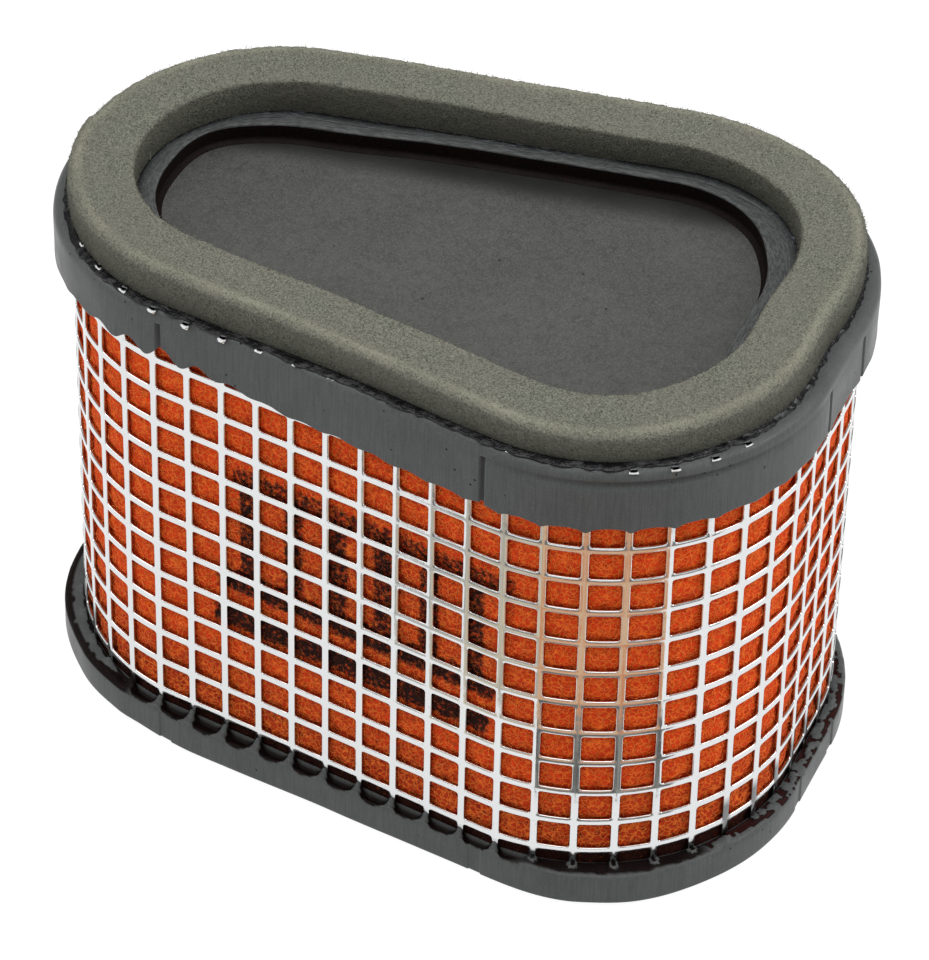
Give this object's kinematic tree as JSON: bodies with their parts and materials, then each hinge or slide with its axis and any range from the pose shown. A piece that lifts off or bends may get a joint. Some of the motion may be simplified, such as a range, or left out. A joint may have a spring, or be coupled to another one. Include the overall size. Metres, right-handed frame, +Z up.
{
  "type": "air filter element",
  "caption": "Egg-shaped cylindrical air filter element: oiled fibre mat between perforated steel meshes, moulded end caps and a foam gasket on top.",
  "frame": {"origin": "centre of the footprint, on the underside of the bottom end cap", "axes": "+X to the wide end of the egg, +Y across it, +Z up to the foam gasket"},
  "size_m": [0.1424, 0.097, 0.1023],
  "materials": {
    "cap_urethane": "satin moulded urethane, fine upright streaks and pinholes",
    "bright_mesh": "bright tinned steel sheet, punched, smooth",
    "filter_mat": "oiled non-woven fibre mat, loose curly fibres",
    "inner_mat": "fine non-woven felt, matte",
    "plate_paint": "matte, faintly mottled",
    "gasket_foam": "open-cell foam, fuzzy cut faces",
    "glue": "glossy dried glue"
  },
  "bodies": {
    "root": {"bottom_end_cap": "cap_urethane", "outer_mesh": "bright_mesh", "media_outer_layer": "filter_mat", "media_inner_layer": "inner_mat", "media_seam_bead": "glue", "inner_mesh": "bright_mesh", "top_end_cap": "cap_urethane", "closure_plate": "plate_paint", "gasket_adhesive": "glue", "foam_gasket": "gasket_foam", "foam_joint_glue": "glue"}
  },
  "joints": []
}
